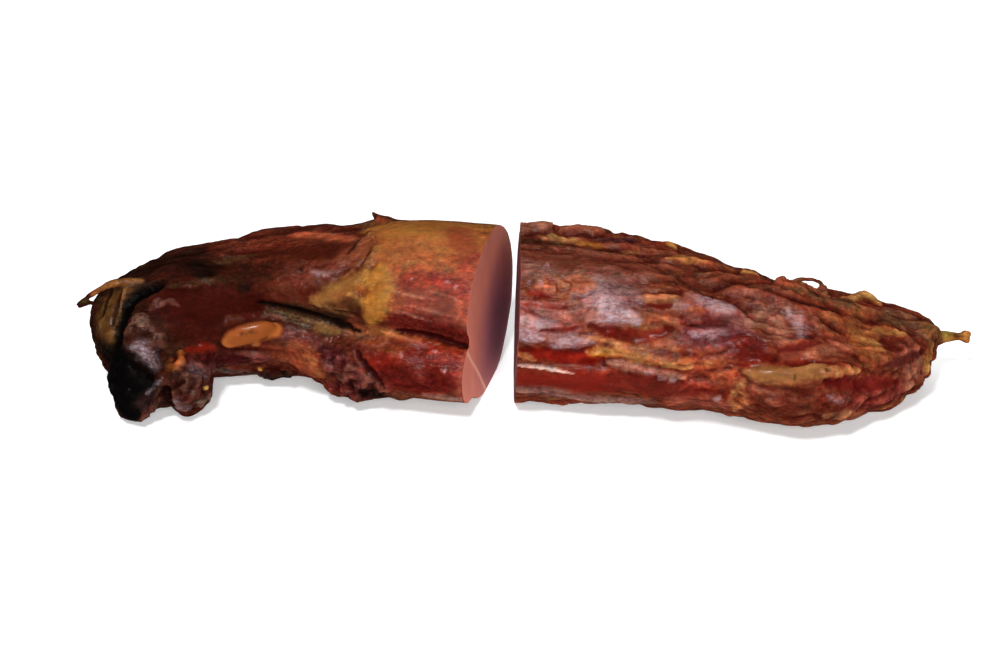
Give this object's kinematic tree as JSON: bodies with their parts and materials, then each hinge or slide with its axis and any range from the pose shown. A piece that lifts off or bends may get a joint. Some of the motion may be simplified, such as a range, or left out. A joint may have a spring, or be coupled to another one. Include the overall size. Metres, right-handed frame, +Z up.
{
  "type": "smoked tenderloin",
  "caption": "Long smoked tenderloin, sliced across the middle and laid end to end, with a curled blunt head and a tail that tapers into sinew; food to be sliced and served.",
  "frame": {"origin": "under the middle of the whole, on the surface it lies on", "axes": "+X from the blunt head to the thin tail, +Y away from the viewer, +Z up"},
  "size_m": [0.2996, 0.084, 0.0571],
  "materials": {
    "smoked_meat": "dry and glossy from smoking, mottled red-brown with amber fat and dark charred spots, pink inside"
  },
  "bodies": {
    "root": {"head_half": "smoked_meat", "tail_half": "smoked_meat"}
  },
  "joints": []
}
